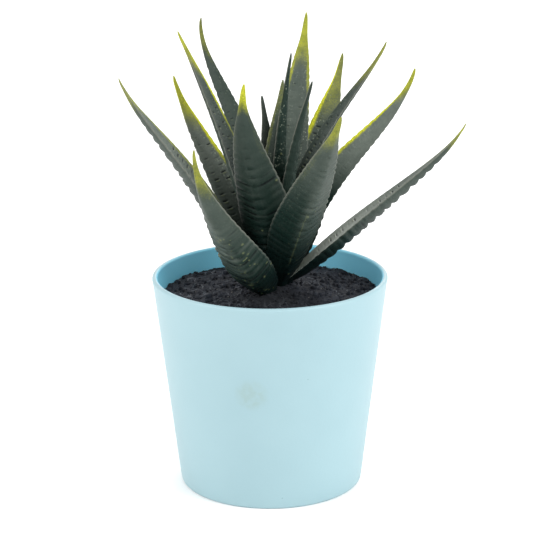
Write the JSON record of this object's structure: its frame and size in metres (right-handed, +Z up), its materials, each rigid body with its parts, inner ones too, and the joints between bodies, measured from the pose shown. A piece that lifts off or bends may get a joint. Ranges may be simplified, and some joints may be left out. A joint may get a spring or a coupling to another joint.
{
  "type": "potted succulent",
  "caption": "Small rosette succulent with long pointed keeled leaves rising from dark soil in a plain tapered round pot; a decorative tabletop plant.",
  "frame": {"origin": "centre of the pot's flat base", "axes": "+Z up along the pot's axis, -Y towards the front of the plant, +X to the viewer's right"},
  "size_m": [0.1138, 0.1019, 0.1534],
  "materials": {
    "pot": "satin light blue moulded plastic",
    "soil": "dry crumbly near-black potting fill",
    "stem": "dull dark green stem",
    "leaf": "satin blackish green, ridged, fading to yellow-green at the tip"
  },
  "bodies": {
    "root": {"pot": "pot", "soil": "soil", "stem": "stem", "leaf_front_left": "leaf", "leaf_front_right": "leaf", "leaf_right_low": "leaf", "leaf_left_low": "leaf", "leaf_left": "leaf", "leaf_right": "leaf", "leaf_front": "leaf", "leaf_left_high": "leaf", "leaf_back_right": "leaf", "leaf_right_high": "leaf", "leaf_back": "leaf", "leaf_back_left": "leaf", "leaf_heart_1": "leaf", "leaf_heart_2": "leaf", "leaf_heart_3": "leaf", "leaf_heart_4": "leaf"}
  },
  "joints": []
}
